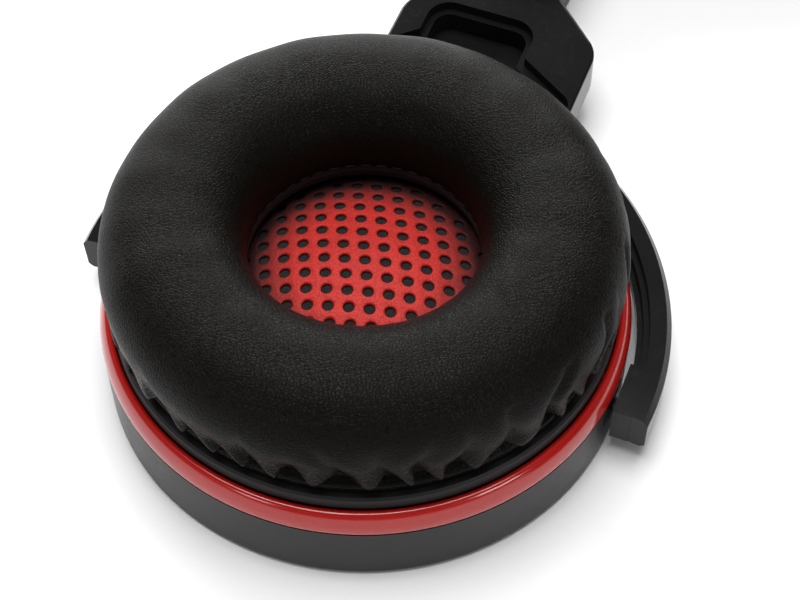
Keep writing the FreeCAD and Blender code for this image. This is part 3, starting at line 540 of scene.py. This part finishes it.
def gathers(angle, height):
    """How far the cover stands out from its plain flank, in metres. The hem's creases sit at uneven
    angles; each leans over as it climbs, is deepest at the hem and fades out at a height of its own,
    and the cloth between two creases puffs out below the middle of the flank."""
    rng = np.random.default_rng(PLEAT_SEED)
    at = (np.arange(PLEATS) + rng.uniform(-UNEVEN, UNEVEN, PLEATS)) * 2 * math.pi / PLEATS
    climb = rng.uniform(*CLIMBS, PLEATS)
    depth = rng.uniform(*DEPTHS, PLEATS)
    v = (height - HEM_Z) / (TUBE_Z - HEM_Z)
    view = angle - LAY
    lean = LEAN_MEAN + LEAN_SWING * np.cos(view)
    phase = np.mod(angle - lean * v / HEM_R + WAVER * np.sin(9 * angle + 5 * v), 2 * math.pi)
    known = np.concatenate([[at[-1] - 2 * math.pi], at, [at[0] + 2 * math.pi]])
    u = np.interp(phase, known, np.arange(-1, PLEATS + 1))
    near = np.mod(np.round(u).astype(int), PLEATS)
    across = np.mod(u, 1) ** (1 + LOPSIDED * np.cos(view))
    wave, flap = np.sin(math.pi * across), 1 - np.abs(2 * across - 1)
    valley = (1 - wave) ** (SHARP + SHARPER * np.clip(np.cos(view), 0, 1))
    fade = smooth(1 - v / ((REACH + REACH_SWING * np.cos(view)) * climb[near]))
    puff = np.exp(-(((v - PUFF_AT) / PUFF_SPAN) ** 2))
    tip = HEM_Z + TIP_RISE + TOOTH * (1 - flap) * depth[near]
    tuck = smooth((tip - height) / TUCK_SPAN + 0.5)
    fold = PLEAT_PUFF * wave**2 * puff - PLEAT_DEPTH * depth[near] * valley * fade
    undercut = TUCK * tuck * np.clip((height - HEM_Z) / HEM_SPAN, 0, 1)
    return (fold * (1 - tuck) - undercut) * (v < FOLD_END)


def swell(points, quads, held, growing, growth, furthest):
    """Cloth simulation of a sewn cover: air fills it from inside, without gravity. Held points stay
    sewn down, growing ones get more cloth, and no point goes further than the given distance."""
    mesh = bpy.data.meshes.new("cover")
    mesh.from_pydata(points.reshape(-1, 3).tolist(), [], quads.tolist())
    cover = bpy.data.objects.new("cover", mesh)
    bpy.context.scene.collection.objects.link(cover)
    cover.vertex_groups.new(name="held").add(np.flatnonzero(held).tolist(), 1.0, "REPLACE")
    cover.vertex_groups.new(name="growing").add(np.flatnonzero(growing).tolist(), 1.0, "REPLACE")
    cloth = cover.modifiers.new("cloth", "CLOTH").settings
    cloth.quality = 3
    cloth.mass = POINT_MASS
    cloth.bending_stiffness = STIFFNESS
    cloth.use_pressure = True
    cloth.uniform_pressure_force = PRESSURE
    cloth.effector_weights.gravity = 0.0
    cloth.vertex_group_mass = "held"
    cloth.vertex_group_shrink = "growing"
    cloth.shrink_min, cloth.shrink_max = 0.0, -growth
    scene = bpy.context.scene
    for frame_number in range(1, FILL_FRAMES + 1):
        scene.frame_set(frame_number)
    filled = cover.evaluated_get(bpy.context.evaluated_depsgraph_get())
    moved = np.empty(len(mesh.vertices) * 3)
    filled.data.vertices.foreach_get("co", moved)
    scene.frame_set(1)
    bpy.data.objects.remove(cover)
    step = moved.reshape(points.shape) - points
    far = np.linalg.norm(step, axis=-1, keepdims=True)
    return points + step * np.minimum(1.0, furthest / np.maximum(far, TINY))


def ear_cushion_cover():
    """The ring on a grid: angle round the cup by place along the section, then filled."""
    section, wall_row = cushion_profile()
    angle = np.linspace(0, 2 * math.pi, AROUND, endpoint=False)[:, None]
    radius, height = section[None, :, 0], section[None, :, 1]
    visible = (np.arange(len(section)) < wall_row)[None]
    outer = visible & (radius > TUBE_R) & (height < TUBE_Z + FOLD_TOP)
    stand = np.where(outer, gathers(angle, height), 0.0)
    slack = sum(size * np.sin(waves * angle + start) for size, waves, start in SLACK_WAVES)
    soft = np.clip((height - TUBE_Z) / TUBE_TALL, 0, 1)
    seam = np.where(radius < TUBE_R, BEAD * np.exp(-(((height - SEAM_Z) / BEAD_SPAN) ** 2)), 0.0)
    lip_clear = np.where(outer & (height < LIP_CLEAR_Z), LIP_CLEAR_R, 0.0)
    r = np.maximum(radius + stand + seam + SLACK_WIDE * soft * slack, lip_clear)
    z = height + SLACK_TALL * soft * slack + 0.25 * np.minimum(stand, 0.0)
    points = np.stack([r * np.cos(angle), r * np.sin(angle), z + 0 * r], axis=-1)
    quads = grid_quads(AROUND, len(section))
    held = (height < SEWN_TOP) | ((radius < TUBE_R) & (height < SEAM_Z))
    held = held | (outer & (stand < -CREASE_HELD * PLEAT_DEPTH))
    growing = outer & (height > HEM_Z + TIP_RISE) & (height < TUBE_Z + GROW_TOP)
    held, growing = (np.broadcast_to(which, r.shape).ravel() for which in (held, growing))
    return swell(points, quads, held, growing, COVER_GROWTH, COVER_REACH), quads


def ear_cushion(name, cover, quads, centre, mirror):
    """One finished cushion, with the cloth of its inner wall and a map of where it is gathered."""
    obj = piece(name, centre + cover * np.array([mirror, 1.0, 1.0]), quads, leatherette)
    obj.data.materials.append(wall_cloth)
    mids = np.empty(len(obj.data.polygons) * 3)
    obj.data.polygons.foreach_get("center", mids)
    mids = mids.reshape(-1, 3) - centre
    inside = (np.hypot(mids[:, 0], mids[:, 1]) < WALL_CLOTH_R) & (mids[:, 2] < SEAM_Z)
    obj.data.polygons.foreach_set("material_index", inside.astype(np.int32))
    spots = corners_of(obj) - centre
    gathered = np.clip((TUBE_Z + 2 * MM - spots[:, 2]) / (4 * MM), 0, 1)
    store_map(obj, "stretch", gathered * (np.hypot(spots[:, 0], spots[:, 1]) > TUBE_R))
    return obj


def stitches(name, spots, along, outwards):
    """One short thread per spot: four rings of six points, thickest in the middle, laid along the seam."""
    t = np.array([-0.5, -0.25, 0.25, 0.5])[None, :, None, None]
    thick = np.array([0.35, 1.0, 1.0, 0.35])[None, :, None, None] * STITCH_R
    a = np.linspace(0, 2 * math.pi, 6, endpoint=False)[None, :, None]
    beside = np.cross(along, outwards)
    ring = np.cos(a) * outwards[:, None] + np.sin(a) * beside[:, None]
    points = spots[:, None, None] + t * STITCH_LENGTH * along[:, None, None] + thick * ring[:, None]
    quads = grid_quads(4, 6, wrap_rows=False)
    caps = np.array([[0, 1, 2, 3], [0, 3, 4, 5], [18, 19, 20, 21], [18, 21, 22, 23]])
    every = np.vstack([quads, caps])
    every = (every[None] + 24 * np.arange(len(spots))[:, None, None]).reshape(-1, 4)
    return piece(name, points, every, thread)


cover, cover_quads = ear_cushion_cover()
for side, mirror in SIDES.items():
    cushion = ear_cushion(f"{side}_leather_cushion", cover, cover_quads, cup_centre[side], mirror)
    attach(cushion, f"{side}_cup")
    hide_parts(f"{side}_ear_cushion")
    seam_r = TUBE_R - TUBE_WIDE + 0.42 * MM
    count = int(2 * math.pi * seam_r / STITCH_STEP)
    a = np.linspace(0, 2 * math.pi, count, endpoint=False)
    flat = np.stack([np.cos(a), np.sin(a), np.zeros(count)], axis=-1)
    along = np.stack([-np.sin(a), np.cos(a), np.zeros(count)], axis=-1)
    spots = cup_centre[side] + seam_r * flat + np.array([0, 0, SEAM_Z])
    seam = stitches(f"{side}_cushion_stitches", spots, along, flat)
    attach(seam, f"{side}_cup")

# ---- Yokes, covers and sliders ----
# The C-shaped yokes and their cover plates are gloss black polycarbonate, polished in the mould.
# They turn on steel shafts in the feet of the steel slider bars, which click in and out of the band.

gloss_black = surface_material(
    "gloss_black", moulded_face, (0.0075, 0.0072, 0.0078),
    {"Roughness": 0.17, "Grain Scale": 420.0, "Wear": 0.25}, 0.003, {"Specular IOR Level": 0.22},
)
for side in SIDES:
    paint(gloss_black, f"{side}_yoke", f"{side}_yoke_cover")
    paint(black_steel, f"{side}_yoke_screws")
    paint(steel, f"{side}_slider", f"{side}_swivel_shaft")

# ---- Headband ----
# A gloss outer cover and a plastic carrier hold a strip of spring steel between two-part end caps.
# The caps guide the slider bars, with leaf springs inside that drop into the bars' detent holes.

paint(gloss_black, "headband_shell")
paint(matt_plastic, "pad_carrier")
paint(satin_plastic, "left_cap_outer", "left_cap_inner", "right_cap_outer", "right_cap_inner")
paint(steel, "headband_spring", "detent_springs")
paint(black_steel, "cap_screws")

# ---- Headband pad ----
# Foam in the same leatherette, sewn through in cross channels so that it bends with the band.
# It is glued under the carrier, so its back is flat and its face is crowned between the channels.

CORNER_R, SIDE_TOP, CROWN_R = 50.0 * MM, 101.0 * MM, 115.0 * MM
PAD_END, TURN = math.radians(42.6), math.atan2(60.0, 25.0)
PAD_BACK, PAD_FACE = -1.4 * MM, -12.6 * MM
BAND_START_Y, BAND_START_HALF, BAND_CROWN_Y, BAND_CROWN_HALF = 83.5 * MM, 11.0 * MM, 162.0 * MM, 16.0 * MM
PAD_INSET = 0.9 * MM
PAD_MID_DROP = 7 * MM  # from the band's line to the middle of the pad
CORNER_PAD_R, CROWN_PAD_R = 43.0, 108.0  # the pad's own arcs, for its length
END_SHARE, PLAIN_SHARE = 0.05, 0.07  # of the length: the rounded ends, and the ends without channels
CHANNELS, CHANNEL_SPAN, CHANNEL_DRAW, SIDE_DRAW = 6, 0.16, 0.42, 0.10
CROWNING, PUFF = 0.16, 0.10  # how far the face drops at its sides and between channels
EDGE_POWER, FACE_POWER = 0.55, 0.62  # powers below one that make the section boxy
PUCKER, PUCKER_SPAN = 0.5 * MM, 0.3
ROWS, COLUMNS = 281, 64
PAD_GROWTH, PAD_REACH = 0.06, 0.9 * MM

band_mid_x = (cup_centre["right"][0] + cup_centre["left"][0]) / 2
band_half = (cup_centre["left"][0] - cup_centre["right"][0]) / 2
pivot_low, pivot_high = box_of("right_pivot_pins")
pivot_z = (pivot_low[2] + pivot_high[2]) / 2
swivel = next(joint for joint in frame["joints"] if joint["name"] == "right_swivel")
lean_cos, lean_sin = swivel["axis"][1], swivel["axis"][2]


def band_place(x, y, z):
    """From the band's own flat plane, which passes through the pivots, to its leaning place at rest."""
    along = cup_centre["right"][1] + y * lean_cos - z * lean_sin
    return np.stack([band_mid_x + x, along, pivot_z + y * lean_sin + z * lean_cos], axis=-1)


def band_line(direction):
    """Arc centre and radius of the band's line where it faces a direction: corners, then the crown."""
    corner_x = band_half - CORNER_R
    on_right, on_left = direction < TURN, direction > math.pi - TURN
    centre_x = np.where(on_right, corner_x, np.where(on_left, -corner_x, 0.0))
    crown_y = SIDE_TOP - (CROWN_R - CORNER_R) * math.sin(TURN)
    centre_y = np.where(on_right | on_left, SIDE_TOP, crown_y)
    return centre_x, centre_y, np.where(on_right | on_left, CORNER_R, CROWN_R)


def band_pad(name):
    """A section carried along the band: a rounded box, flat at the back and crowned on the face,
    that closes to an edge at both ends and is drawn in at each sewn channel."""
    t = np.linspace(0, 1, ROWS)
    corner_run, crown_run = (TURN - PAD_END) * CORNER_PAD_R, (math.pi - 2 * TURN) * CROWN_PAD_R
    whole = 2 * corner_run + crown_run
    stops = np.array([0, corner_run, corner_run + crown_run, whole]) / whole
    direction = np.interp(t, stops, [PAD_END, TURN, math.pi - TURN, math.pi - PAD_END])
    centre_x, centre_y, arc_r = band_line(direction)
    y_here = centre_y + (arc_r - PAD_MID_DROP) * np.sin(direction)
    share = (y_here - BAND_START_Y) / (BAND_CROWN_Y - BAND_START_Y)
    half = BAND_START_HALF + (BAND_CROWN_HALF - BAND_START_HALF) * share - PAD_INSET
    end = np.clip(np.minimum(t, 1 - t) / END_SHARE, 0, 1)
    closing = np.sqrt(1 - (1 - end) ** 2)
    channel = np.abs(np.sin(math.pi * (t * (CHANNELS + 1))))
    channel = np.where((t < PLAIN_SHARE) | (t > 1 - PLAIN_SHARE), 1.0, channel)
    sewn = np.exp(-((channel / CHANNEL_SPAN) ** 2))
    a = np.linspace(0, 2 * math.pi, COLUMNS, endpoint=False)[None, :]
    across = np.sign(np.cos(a)) * np.abs(np.cos(a)) ** EDGE_POWER
    deep = np.sign(np.sin(a)) * np.abs(np.sin(a)) ** FACE_POWER
    face = deep < 0
    crown_in = 1 - CROWNING * across**2
    mid, thick = (PAD_BACK + PAD_FACE) / 2, (PAD_BACK - PAD_FACE) / 2
    draw = 1 - CHANNEL_DRAW * sewn[:, None] * (0.35 + 0.65 * face)
    puff = 1 - PUFF * (1 - channel[:, None] ** 0.8)
    offset = mid + thick * deep * np.where(face, crown_in * draw * puff, 1.0) * closing[:, None]
    side_pull = 1 - SIDE_DRAW * sewn[:, None] - 0.02 * (1 - channel[:, None])
    w = half[:, None] * across * side_pull * (0.55 + 0.45 * closing[:, None])
    pull = sewn[:, None] * np.sin(a) * np.exp(-(((1 - np.abs(across)) / PUCKER_SPAN) ** 2))
    r = arc_r[:, None] + offset + PUCKER * pull
    x = centre_x[:, None] + r * np.cos(direction)[:, None]
    y = centre_y[:, None] + r * np.sin(direction)[:, None]
    points = band_place(x, y, w + 0 * x)
    quads = grid_quads(ROWS, COLUMNS, wrap_rows=False)
    held = (sewn[:, None] > 0.45) | (deep > 0.3) | (end[:, None] < 0.35)
    points = swell(points, quads, held.ravel(), ~held.ravel(), PAD_GROWTH, PAD_REACH)
    middle = points.mean(axis=1, keepdims=True).repeat(COLUMNS, axis=1)
    points = np.concatenate([middle[:1], points, middle[-1:]])
    return piece(name, points, grid_quads(ROWS + 2, COLUMNS, wrap_rows=False), leatherette)


pad = band_pad("headband_leather_pad")
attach(pad, "headband")
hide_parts("headband_pad")

# ---- Microphone ----
# A moulded fork on the left-ear cup holds the hub, with a rigid arm and a ribbed rubber gooseneck.
# The capsule sits in its tip under a slip-on foam ball, and the whole boom swings on a steel pin.

BOOM_LEAN = math.radians(22)
NECK_R = 2.2 * MM
RIB_STEP, RIB_DEPTH, PLAIN_END = 1.45 * MM, 0.32 * MM, 2.5 * MM
BALL_HALF = 8.5 * MM
BALL_SIDE_POWER, BALL_END_POWER = 0.62, 0.8  # powers below one that make the ball a rounded drum
FOAM_SEED, PORE_IN, PORE_OUT = 5, -0.16 * MM, 0.02 * MM

rubber = surface_material(
    "rubber", moulded_face, (0.014, 0.014, 0.015),
    {"Roughness": 0.6, "Grain Scale": 3200.0, "Wear": 0.2}, 0.02,
)
paint(satin_plastic, "mic_mount", "mic_hub")
paint(matt_plastic, "mic_arm", "mic_capsule")
paint(steel, "mic_pin")
paint(rubber, "cable_gland")

boom_dir = np.array([-math.sin(BOOM_LEAN), math.cos(BOOM_LEAN), 0.0])


def rod_ends(node, radius):
    """Ends of a straight level rod that runs along the boom, from its box and radius."""
    low, high = box_of(node)
    x_off, y_off = radius * math.cos(BOOM_LEAN), radius * math.sin(BOOM_LEAN)
    z = (low[2] + high[2]) / 2
    return np.array([high[0] - x_off, low[1] + y_off, z]), np.array([low[0] + x_off, high[1] - y_off, z])


start, end = rod_ends("mic_gooseneck", NECK_R)
length = np.linalg.norm(end - start)
s = np.linspace(0, length, 321)
ends = np.clip(np.minimum(s, length - s) / PLAIN_END, 0, 1)
ribs = NECK_R - RIB_DEPTH * ends * (0.5 - 0.5 * np.cos(2 * math.pi * s / RIB_STEP)) ** 2
profile = np.vstack([[0, 0], np.column_stack([ribs, s]), [0, length]])
neck = revolve("mic_ribbed_neck", start, boom_dir, profile, rubber, 40, closed=False)
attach(neck, "mic_boom")
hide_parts("mic_gooseneck")

low, high = box_of("mic_windscreen")
ball_r = (high[2] - low[2]) / 2
ball_mid = (low + high) / 2
t = np.linspace(0, math.pi, 41)
ball_along = -BALL_HALF * np.sign(np.cos(t)) * np.abs(np.cos(t)) ** BALL_END_POWER
ball = np.column_stack([ball_r * np.sin(t) ** BALL_SIDE_POWER, ball_along])
screen = revolve("mic_foam_ball", ball_mid, boom_dir, ball, foam_black, 96, closed=False)
rng = np.random.default_rng(FOAM_SEED)
spots = corners_of(screen)
out = spots - ball_mid
out /= np.linalg.norm(out, axis=1, keepdims=True)
spots += out * rng.uniform(PORE_IN, PORE_OUT, len(spots))[:, None]
screen.data.vertices.foreach_set("co", spots.ravel())
screen.data.update()
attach(screen, "mic_boom")
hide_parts("mic_windscreen")

# ---- Studio ----
# A pale floor under a low white softbox behind, a broad one overhead and two small ones in front.

AZIMUTH, ELEVATION = math.radians(21.7), math.radians(53.7)
DISTANCE, LENS, SENSOR = 315 * MM, 79.0, 36.0
CUP_MIDDLE = 20 * MM
ROOM_LIGHT = 0.13
to_right = np.array([math.cos(AZIMUTH), math.sin(AZIMUTH), 0.0])
away = np.array([-math.sin(AZIMUTH), math.cos(AZIMUTH), 0.0])
up = np.array([0.0, 0.0, 1.0])
subject = cup_centre["right"]
AIM_RIGHT, AIM_AWAY = 5.76 * MM, 9.77 * MM  # from the cup's centre to the middle of the picture
target = subject + AIM_RIGHT * to_right + AIM_AWAY * away

camera_data = bpy.data.cameras.new("camera")
camera_data.lens, camera_data.sensor_width = LENS, SENSOR
camera_data.clip_start = 0.01
camera = bpy.data.objects.new("camera", camera_data)
bpy.context.scene.collection.objects.link(camera)
bpy.context.scene.camera = camera


def aim(obj, place, at):
    """Puts a camera or light at a place, looking at a point."""
    obj.location = Vector(place)
    obj.rotation_euler = (Vector(at) - Vector(place)).to_track_quat("-Z", "Y").to_euler()


aim(camera, target + DISTANCE * (math.sin(ELEVATION) * up - math.cos(ELEVATION) * away), target)


def softbox(name, right_mm, away_mm, up_mm, wide_mm, tall_mm, radiance):
    """An area light of a given brightness, placed from the cup and aimed at it."""
    data = bpy.data.lights.new(name, "AREA")
    data.shape = "RECTANGLE"
    data.size, data.size_y = wide_mm * MM, tall_mm * MM
    data.energy = radiance * math.pi * data.size * data.size_y
    light = bpy.data.objects.new(name, data)
    bpy.context.scene.collection.objects.link(light)
    place = subject + (right_mm * to_right + away_mm * away + up_mm * up) * MM
    aim(light, place, subject + CUP_MIDDLE * up)


softbox("back_softbox", -100, 950, 400, 1300, 520, 6.4)
softbox("top_softbox", -40, 60, 1350, 900, 760, 8.6)
softbox("left_patch", -330, -420, 190, 110, 110, 5.0)
softbox("right_patch", 330, -330, 170, 130, 100, 8.0)

world = bpy.data.worlds.new("room")
world.use_nodes = True
background = world.node_tree.nodes["Background"]
background.inputs["Color"].default_value = (1.0, 1.0, 1.0, 1.0)
background.inputs["Strength"].default_value = ROOM_LIGHT
bpy.context.scene.world = world
bpy.context.scene.view_settings.view_transform = "Standard"

FLOOR_HALF = 3.0
corners = FLOOR_HALF * np.array([[-1, -1, 0], [1, -1, 0], [1, 1, 0], [-1, 1, 0]])
floor_paper = surface_material(
    "floor_paper", moulded_face, (0.93, 0.925, 0.93),
    {"Roughness": 0.8, "Grain Scale": 900.0, "Wear": 0.02}, 0.01,
)
floor = piece("floor", corners + cad_box[0][2] * up, np.array([[0, 1, 2, 3]]), floor_paper)
